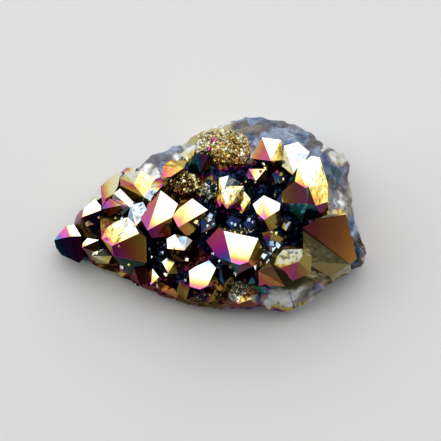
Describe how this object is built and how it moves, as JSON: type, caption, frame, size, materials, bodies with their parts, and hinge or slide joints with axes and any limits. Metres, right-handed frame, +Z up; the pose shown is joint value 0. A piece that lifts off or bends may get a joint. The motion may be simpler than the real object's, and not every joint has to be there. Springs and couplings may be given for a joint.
{
  "type": "aura quartz cluster",
  "caption": "Cluster of intergrown pointed quartz crystals with a rainbow metallic coating, on its own broken matrix with a flat underside.",
  "frame": {"origin": "middle of the cluster's bounding box, on its flat underside", "axes": "+X along the cluster from its narrow end to its broad broken end, +Y to the back, away from the side that the points lean to, +Z up"},
  "size_m": [0.0788, 0.0488, 0.0325],
  "materials": {
    "coated_quartz": "vapour-deposited metal film, mirror gloss, interference colours from silver through gold, magenta and blue to green",
    "coated_matrix": "the same film on broken quartz, semi-gloss to satin, grey, lavender and blue"
  },
  "bodies": {
    "root": {"quartz_cluster": "coated_quartz"}
  },
  "joints": []
}
